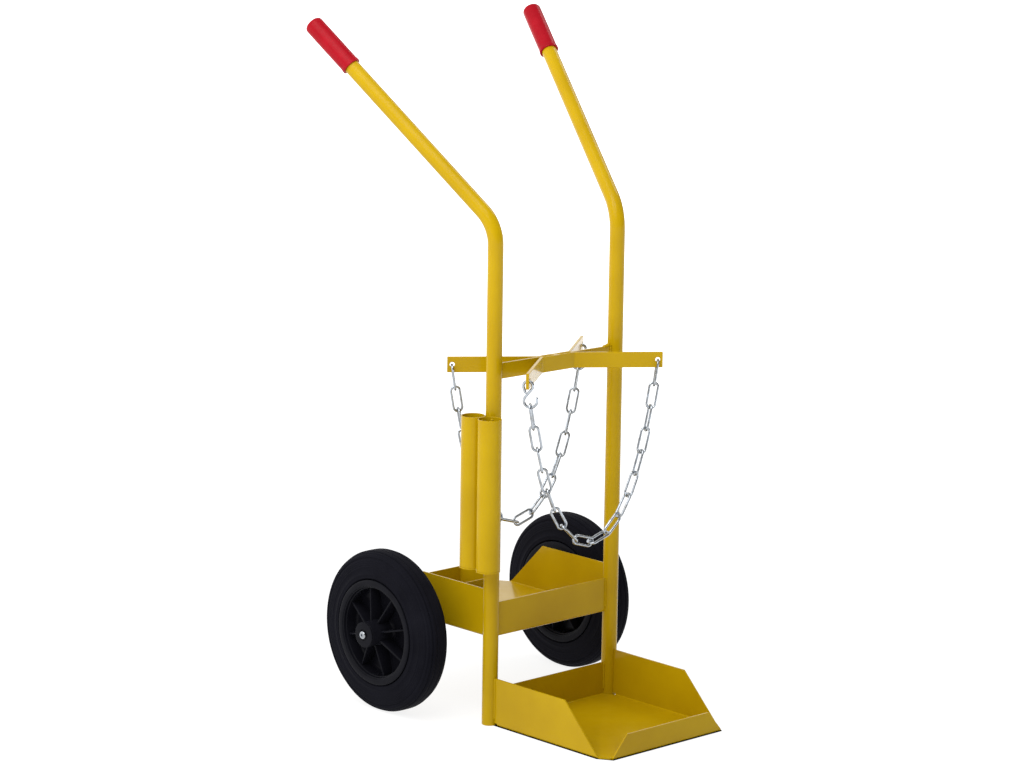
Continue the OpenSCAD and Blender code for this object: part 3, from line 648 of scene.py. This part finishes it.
# fine rings moulded into the side face, which slopes from its foot to the shoulder
sideRings = {"radii": (0.0935, 0.1052, 0.1088, 0.1120, 0.1150), "half": 0.0005, "height": 0.0002,
             "footRadius": 0.0868, "footFace": 0.0268, "slope": 0.2032}
for ringRadius in sideRings["radii"]:
    face = sideRings["footFace"] - (ringRadius - sideRings["footRadius"]) * sideRings["slope"]
    half = sideRings["half"]
    tyreSection += [(ringRadius - half, face), (ringRadius - half * 0.4, face + sideRings["height"]),
                    (ringRadius + half * 0.4, face + sideRings["height"]), (ringRadius + half, face)]
tyreSection += [(0.1178, 0.0205, 0.0010), (0.1187, 0.0196, 0.0006), (0.1197, 0.0195, 0.0006),
                (0.1206, 0.0203, 0.0007), (0.1240, 0.0196, 0.0012), (0.1252, 0.0174, 0.0007),
                (0.1276, 0.0162, 0.0012), (0.1284, 0.0143, 0.0005), (0.1277, 0.0137, 0.0004),
                (0.1278, 0.0128, 0.0004), (0.1292, 0.0124, 0.0006), (0.13035, 0.0094, 0.0014),
                (0.13050, 0.0060, 0.0014), (0.1299, 0.0056, 0.0003), (0.1299, 0.0048, 0.0003),
                (0.13050, 0.0044, 0.0004), (0.13050, 0.0)]

# half of the rim's section: bore, hub, web, dish, inner step, face ring, flange, drum
rimSection = [(0.01305, 0.0), (0.01305, 0.045, 0.0006), (0.0203, 0.045, 0.0012), (0.0206, 0.0040, 0.003),
              (0.0260, 0.0020, 0.004), (0.0690, 0.0020, 0.005), (0.0713, 0.0215, 0.0008),
              (0.0726, 0.0222, 0.0006), (0.0733, 0.0262, 0.0007), (0.0752, 0.0263, 0.0004),
              (0.0756, 0.0275, 0.0005), (0.0850, 0.0275, 0.0016), (0.0850, 0.0220), (0.0770, 0.0220),
              (0.0770, 0.0)]


# a half section and its mirror image, which leaves out the first and the last point
def wholeSection(half):
    near = roundedProfile(half, 4, closed=False)
    return np.concatenate([near, near[-2:0:-1] * [1, -1]])


# a rib as a round-topped section carried from the hub to the drum, sunk into both
def ribShells(side):
    s = wheel
    r = np.linspace(s["ribInner"], s["ribOuter"], 10)
    height = np.interp(r, [s["ribInner"], s["ribOuter"]], [s["ribHubHeight"], s["ribRimHeight"]])
    t = s["ribThickness"] / 2
    a = np.radians(np.linspace(0, 180, 7))
    shells = []
    for k in range(s["ribs"]):
        turn = np.radians(s["ribTurn"] + 360 * k / s["ribs"])
        for face in (-1, 1):
            wide = np.concatenate([t * np.cos(a), [-t, t]])
            tall = np.concatenate([t * np.sin(a) - t, [0, 0]])
            base = np.concatenate([np.ones(7), [0, 0]])
            h = face * (base * height[:, None] + tall)
            # section rows: radius outward, thickness across, height along the axle
            points = axlePoints(side, r[:, None] * np.cos(turn) - wide * np.sin(turn),
                                r[:, None] * np.sin(turn) + wide * np.cos(turn), h)
            shells.append(gridShell(points, caps=True))
    return shells


# wheel coordinates to the row frame: the wheel's own +Z points outward along the axle
def axlePoints(side, a, b, h):
    return np.stack([side * (wheel["x"] + h), wheel["y"] + b, wheel["z"] - side * a], -1)


# a section turned about the axle; an open section starts and ends on the axle itself
def wheelRing(side, section, steps=128, closed=True):
    t = np.linspace(0, 2 * np.pi, steps, endpoint=False)
    return gridShell(axlePoints(side, section[:, :1] * np.cos(t), section[:, :1] * np.sin(t),
                                section[:, 1:] + 0 * t), closeRows=closed)


# hub cover with a recess for the bolt head, and the bolt with its socket; in the sections below a
# corner's third number is its rounding
hubParts = {"coverBore": 0.0041, "coverRadius": 0.0203, "coverStart": 0.0454, "coverEnd": 0.0474,
            "recess": 0.0012, "recessRadius": 0.0093, "headRadius": 0.0064, "headHeight": 0.004,
            "socket": 0.0023, "socketDepth": 0.0026, "shank": 0.004, "shankLength": 0.024}


# outline of the cover, and of the bolt from its tip up to the bottom of its socket
def hubSections():
    h = hubParts
    end, low, top = h["coverEnd"], h["coverEnd"] - h["recess"], h["coverEnd"] + h["headHeight"]
    tip = low - h["shankLength"]
    cover = roundedProfile([(h["coverBore"], h["coverStart"]), (h["coverRadius"], h["coverStart"], 0.0004),
                            (h["coverRadius"], end, 0.0007), (h["recessRadius"], end),
                            (h["recessRadius"], low), (h["coverBore"], low)])
    bolt = roundedProfile([(0, tip), (h["shank"], tip, 0.0005), (h["shank"], low),
                           (h["headRadius"], low, 0.0004), (h["headRadius"], top, 0.0024),
                           (h["socket"], top, 0.0004), (h["socket"], top - h["socketDepth"]),
                           (0, top - h["socketDepth"])], closed=False)
    return cover, bolt


# every moulding is its section turned about the axle, and the ribs belong to the rim
def makeWheels():
    cover, bolt = hubSections()
    for side, word in ((-1, "left"), (1, "right")):
        body = word + "_wheel"
        addPiece(word + "_tyre_moulding", [wheelRing(side, wholeSection(tyreSection), 160)], rubber, body,
                 [word + "_tyre"], 60.0)
        rim = [wheelRing(side, wholeSection(rimSection))] + ribShells(side)
        addPiece(word + "_rim_moulding", rim, plastic, body, [word + "_rim", word + "_rim_ribs"],
                 50.0)
        addPiece(word + "_hub_cover", [wheelRing(side, cover, 64)], plastic, "cart_frame",
                 [word + "_outer_washer"], 50.0)
        addPiece(word + "_bolt_head", [wheelRing(side, bolt, 48, closed=False)], zinc, "cart_frame",
                 [word + "_hub_bolt"], 50.0)


makeWheels()
print("wheels made")

# bead radius of each kind of seam, pitch and depth of its ripple, and where the seams start and end
weldSeam = {"ripple": 0.0028, "depth": 0.12, "inset": 0.0006, "proud": 0.0002, "tray": 0.0017,
            "wallStart": 0.010, "backStart": 0.008, "axle": 0.0018, "axleStarts": (0.060, 0.098),
            "axleLength": 0.022, "axleReach": 0.0042, "axleDrop": 0.0008, "barEnd": 0.0024,
            "barRound": 0.001, "corner": 0.0032,
            "cornerLine": ((-0.016, -0.0018), (-0.006, -0.0004), (0.0005, 0.003)),
            "cradle": 0.0015, "cradleStarts": (-0.031, 0.006), "cradleLength": 0.025, "holder": 0.0034,
            "holderLength": 0.020, "holderDown": 0.022, "between": 0.0026, "betweenLength": 0.018,
            "betweenDown": 0.020, "tubeEnd": 0.001}


# rippled bead: a round section whose radius swells at an even pitch and closes to a point at both ends
def weldBead(points, radius):
    points = np.asarray(points, float)
    gaps = np.linalg.norm(np.diff(points, axis=0), axis=1)
    place = np.concatenate([[0], np.cumsum(gaps)])
    count = max(12, int(place[-1] / weldSeam["ripple"] * 5))
    s = np.linspace(0, place[-1], count)
    path = np.column_stack([np.interp(s, place, points[:, i]) for i in range(3)])
    ahead = np.gradient(path, axis=0)
    ahead /= np.linalg.norm(ahead, axis=1)[:, None]
    aid = np.where(np.abs(ahead[:, 2:]) < 0.9, up, [1.0, 0, 0])
    across = np.cross(ahead, aid)
    across /= np.linalg.norm(across, axis=1)[:, None]
    ripple = 1 + weldSeam["depth"] * np.sin(2 * np.pi * s / weldSeam["ripple"])
    taper = np.sqrt(np.clip(np.minimum(s, place[-1] - s) / radius, 0, 1))
    return roundAlong(path, across, np.cross(ahead, across), radius * ripple * taper, 12)


# both trays to the uprights, along the side walls and both faces of the wall between the tubes, and the
# axle to the floor of its tray
def trayWelds():
    s, x, r = weldSeam, uprightTube["x"], uprightTube["radius"]
    t = traySheet["thickness"] / 2
    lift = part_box("axle_tray")[0][2]
    beads = []
    for side in (-1, 1):
        outer, inner = side * (x + t), side * (x - r - s["proud"])
        for way, base in ((-1, 0.0), (1, lift)):
            start, wallTop = base + s["wallStart"], base + traySheet["wallHeight"] - s["inset"]
            beads.append(weldBead([(outer, way * r, start), (outer, way * r, wallTop)], s["tray"]))
            backFace, backTop = way * (t + s["proud"]), base + traySheet["backHeight"] - s["inset"]
            for y, low in ((backFace, start), (-backFace, base + s["backStart"])):
                beads.append(weldBead([(inner, y, low), (inner, y, backTop)], s["tray"]))
    for side in (-1, 1):
        for edge in (-1, 1):
            for start in s["axleStarts"]:
                y, z = wheel["y"] + edge * s["axleReach"], lift - s["axleDrop"]
                beads.append(weldBead([(side * start, y, z), (side * (start + s["axleLength"]), y, z)],
                                      s["axle"]))
    return beads


# the tie bar all round its ends, a heap at its right top corner, and the cradles to the tie bar
def barWelds():
    s, k = weldSeam, weldSeam["barRound"]
    y, half = flatBar["thickness"] / 2, flatBar["height"] / 2
    low, high = flatBar["z"] - half, flatBar["z"] + half
    reach = uprightTube["x"] - uprightTube["radius"]
    loop = [(-y, low + 2 * k), (-y, high - k), (k - y, high), (y - k, high), (y, high - k), (y, low + k),
            (y - k, low), (k - y, low), (-y, low + 2 * k)]
    beads = [weldBead([(side * reach, *point) for point in loop], s["barEnd"]) for side in (-1, 1)]
    beads.append(weldBead([(reach + along, 0, high + above) for along, above in s["cornerLine"]],
                          s["corner"]))
    for way in (-1, 1):
        for start in s["cradleStarts"]:
            for z in (low + s["inset"], high - s["inset"]):
                end = start + s["cradleLength"]
                beads.append(weldBead([(start, way * y, z), (end, way * y, z)], s["cradle"]))
    return beads


# each rod tube to the upright, on the line where the two round faces meet, and the rod tubes to each other
def holderWelds():
    s, r = weldSeam, uprightTube["radius"]
    low, high = rodTube["low"], rodTube["high"]
    post = np.array([-uprightTube["x"], 0.0])
    beads = []
    for way in (-1, 1):
        centre = np.array([rodTube["x"], way * rodTube["y"]])
        touch = post + (centre - post) * r / (r + rodTube["radius"])
        for z in (low - s["tubeEnd"], high - s["holderDown"]):
            beads.append(weldBead([(*touch, z), (*touch, z + s["holderLength"])], s["holder"]))
    for z in (low + s["tubeEnd"], high - s["betweenDown"]):
        line = [(rodTube["x"], 0, z), (rodTube["x"], 0, z + s["betweenLength"])]
        beads.append(weldBead(line, s["between"]))
    return beads


def makeWelds():
    for name, beads in (("tray_weld_seams", trayWelds()), ("bar_weld_seams", barWelds()),
                        ("rod_tube_weld_seams", holderWelds())):
        addPiece(name, beads, yellow, "cart_frame", sharp=80.0)


makeWelds()
print("weld seams made")

# finishes of the pieces that stay as the frame gives them
keptFinishes = {"front_rod_cap": yellow, "rear_rod_cap": yellow, "axle": steel,
                "left_collar": steel, "right_collar": steel,
                "left_inner_washer": steel, "right_inner_washer": steel,
                "left_outer_bush": bronze, "left_inner_bush": bronze,
                "right_outer_bush": bronze, "right_inner_bush": bronze}
for node, finish in keptFinishes.items():
    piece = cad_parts[node]
    piece.data.materials.clear()
    piece.data.materials.append(finish)

# floor, dome and three soft lights: powers in watts, and each light's place, size and aim
studio = {"floorSize": 120.0, "floorTone": 0.22, "floorGlow": 0.86, "farGlow": 1.8, "nearRadius": 5.0,
          "worldTone": 0.5, "domeRadius": 40.0, "darkSide": (0.35, -0.92, 0.12),
          "key": 35.0, "keyPlace": (-1.58, -0.57, 2.36), "keySize": 2.0, "keyAim": (0, 0, 0.7),
          "edge": 9.0, "edgePlace": (1.7, 0.1, 2.2), "edgeSize": 0.9,
          "grip": 8.0, "gripPlace": (-0.6, -0.3, 2.1), "gripSize": 1.2, "gripAim": (-0.1, 0.2, 1.0),
          "floorRough": 0.9, "glowStops": (0.1, 0.8),
          # painted shade on the floor under the base tray: its tone, its height above the floor, its reach
          # past the tray's edges and where it starts at the rear
          "paintedShadeTone": 0.01, "shadeHeight": 0.0005, "shadeReach": 0.0016, "shadeStart": -0.002}

# outline of the dark floor patch of painted shade under a rear corner notch of the base tray, inside tray
# and tube foot
notchPaintedShade = [(0.112, -0.022), (0.1325, -0.022), (0.1325, -0.0115), (0.1405, -0.008), (0.1405, 0.006),
              (0.120, 0.003), (0.112, -0.001)]

# brightness of the dome from the bright side to the dark side
domeGlow = [(0.0, 1.35), (0.3, 1.2), (0.5, 0.72), (0.7, 0.36), (1.0, 0.15)]


# a mesh of the studio, whose glow isn't sampled as a lamp
def newStageMesh(name, points, faces, finish):
    data = bpy.data.meshes.new(name)
    data.from_pydata(np.asarray(points, float).tolist(), [], faces)
    data.materials.append(finish)
    finish.cycles.emission_sampling = "NONE"
    piece = bpy.data.objects.new(name, data)
    bpy.context.scene.collection.objects.link(piece)


# grey spot that falls from 1 in the middle of the floor to 0 at the radius
def addSpot(tree, coords, radius):
    place = tree.nodes.new("ShaderNodeMapping")
    place.inputs["Scale"].default_value = [1 / radius] * 3
    spot = tree.nodes.new("ShaderNodeTexGradient")
    spot.gradient_type = "SPHERICAL"
    tree.links.new(coords.outputs["Object"], place.inputs["Vector"])
    tree.links.new(place.outputs["Vector"], spot.inputs["Vector"])
    return spot


# the floor glows a little, and more in the distance
def addFloor():
    half = studio["floorSize"] / 2
    finish, tree, shader, coords = newFinish("paleFloor")
    tone = studio["floorTone"]
    shader.inputs["Base Color"].default_value = (tone, tone, tone, 1)
    shader.inputs["Roughness"].default_value = studio["floorRough"]
    shader.inputs["Specular IOR Level"].default_value = 0.0
    distance = addSpot(tree, coords, studio["nearRadius"])
    glow = [[studio["farGlow"]] * 3, [studio["floorGlow"]] * 3]
    addColours(tree, distance, shader.inputs["Emission Color"], list(zip(studio["glowStops"], glow)))
    shader.inputs["Emission Strength"].default_value = 1.0
    newStageMesh("studioFloor", [(-half, -half, 0), (half, -half, 0), (half, half, 0), (-half, half, 0)],
                 [(0, 1, 2, 3)], finish)


# painted shade: dark patches of floor in the base tray's corner notches, and one under the whole tray,
# which shows as a painted contact shadow in a thin line along its edges; all of them face up
def addPaintedCornerShades():
    finish, _, shader, _ = newFinish("paintedCornerShade")
    # near-black colour of the painted shade
    tone = studio["paintedShadeTone"]
    shader.inputs["Base Color"].default_value = (tone, tone, tone, 1)
    shader.inputs["Specular IOR Level"].default_value = 0.0
    s, reach = traySheet, studio["shadeReach"]
    wide, deep = s["halfWidth"] + s["thickness"] / 2 + reach, s["depth"] + reach
    corner = [(-wide, studio["shadeStart"]), (-wide, s["cornerLong"] - deep),
              (s["cornerWide"] - wide, -deep)]
    under = corner + [(-x, y) for x, y in corner[::-1]]
    notches = [[(side * x, y) for x, y in notchPaintedShade[::side]] for side in (-1, 1)]
    points, faces = [], []
    for outline, height in ((notches[0], 1.0), (notches[1], 1.0), (under, 0.5)):
        faces.append(list(range(len(points), len(points) + len(outline))))
        points += [(x, y, height * studio["shadeHeight"]) for x, y in outline]
    newStageMesh("paintedCornerShades", points, faces, finish)


# sphere z = cos a, (x, y) = sin a (cos b, sin b), whose glow falls from its bright to its dark side
def addDome():
    a = np.linspace(0, np.pi, 25)[:, None]
    b = np.linspace(0, 2 * np.pi, 48, endpoint=False)
    points = np.stack([np.sin(a) * np.cos(b), np.sin(a) * np.sin(b), np.cos(a) + 0 * b], -1)
    points, faces = gridShell(points * studio["domeRadius"])
    finish, tree, shader, coords = newFinish("domeGlow")
    place = tree.nodes.new("ShaderNodeMapping")
    toDark = Vector(studio["darkSide"]).rotation_difference(Vector((1, 0, 0)))
    place.inputs["Rotation"].default_value = toDark.to_euler()
    place.inputs["Scale"].default_value = [0.5 / studio["domeRadius"]] * 3
    place.inputs["Location"].default_value = (0.5, 0, 0)
    slope = tree.nodes.new("ShaderNodeTexGradient")
    tree.links.new(coords.outputs["Object"], place.inputs["Vector"])
    tree.links.new(place.outputs["Vector"], slope.inputs["Vector"])
    addColours(tree, slope, shader.inputs["Emission Color"], [(at, (k, k, k)) for at, k in domeGlow])
    shader.inputs["Emission Strength"].default_value = 1.0
    shader.inputs["Base Color"].default_value = (0, 0, 0, 1)
    shader.inputs["Specular IOR Level"].default_value = 0.0
    newStageMesh("studioDome", points, faces, finish)


# place and axes of a camera or lamp that looks along a direction, rolled about it by an angle in degrees
def aimMatrix(place, forward, roll=0.0):
    forward = unit(forward)
    right = unit(np.cross(forward, up))
    above = np.cross(right, forward)
    a = np.radians(roll)
    x = right * np.cos(a) + above * np.sin(a)
    y = -right * np.sin(a) + above * np.cos(a)
    axes = np.column_stack([x, y, -forward, place])
    return Matrix(np.vstack([axes, [0, 0, 0, 1]]).tolist())


def addLight(name, power, place, size, target):
    data = bpy.data.lights.new(name, "AREA")
    data.energy = power
    data.size = size
    lamp = bpy.data.objects.new(name, data)
    bpy.context.scene.collection.objects.link(lamp)
    lamp.matrix_world = aimMatrix(np.array(place), np.array(target) - np.array(place))


def addWorld():
    world = bpy.data.worlds.new("studioWorld")
    bpy.context.scene.world = world
    world.use_nodes = True
    back = next(n for n in world.node_tree.nodes if n.type == "BACKGROUND")
    back.inputs["Color"].default_value = (1, 1, 1, 1)
    back.inputs["Strength"].default_value = studio["worldTone"]


# bearing is from +Y towards +X, tilt is below the level; both and the roll are in degrees, the lens in mm
view = {"place": (-3.7041, -3.8463, 1.5756), "bearing": 43.19, "tilt": 11.07, "roll": 0.81,
        "lens": 121.08, "sensor": 36.0, "clipEnd": 200.0}


def addCamera():
    bearing, tilt = np.radians(view["bearing"]), np.radians(view["tilt"])
    forward = [np.sin(bearing) * np.cos(tilt), np.cos(bearing) * np.cos(tilt), -np.sin(tilt)]
    data = bpy.data.cameras.new("productCamera")
    data.sensor_width = view["sensor"]
    data.lens = view["lens"]
    data.clip_end = view["clipEnd"]
    data.dof.use_dof = False
    camera = bpy.data.objects.new("productCamera", data)
    bpy.context.scene.collection.objects.link(camera)
    camera.matrix_world = aimMatrix(np.array(view["place"]), np.array(forward), view["roll"])
    bpy.context.scene.camera = camera


addFloor()
addPaintedCornerShades()
addDome()
addWorld()
addLight("keySoftbox", studio["key"], studio["keyPlace"], studio["keySize"], studio["keyAim"])
addLight("edgeSoftbox", studio["edge"], studio["edgePlace"], studio["edgeSize"], studio["keyAim"])
addLight("gripSoftbox", studio["grip"], studio["gripPlace"], studio["gripSize"], studio["gripAim"])
addCamera()
bpy.context.scene.view_settings.view_transform = "Standard"
bpy.context.scene.view_settings.look = "None"
print("studio set up")
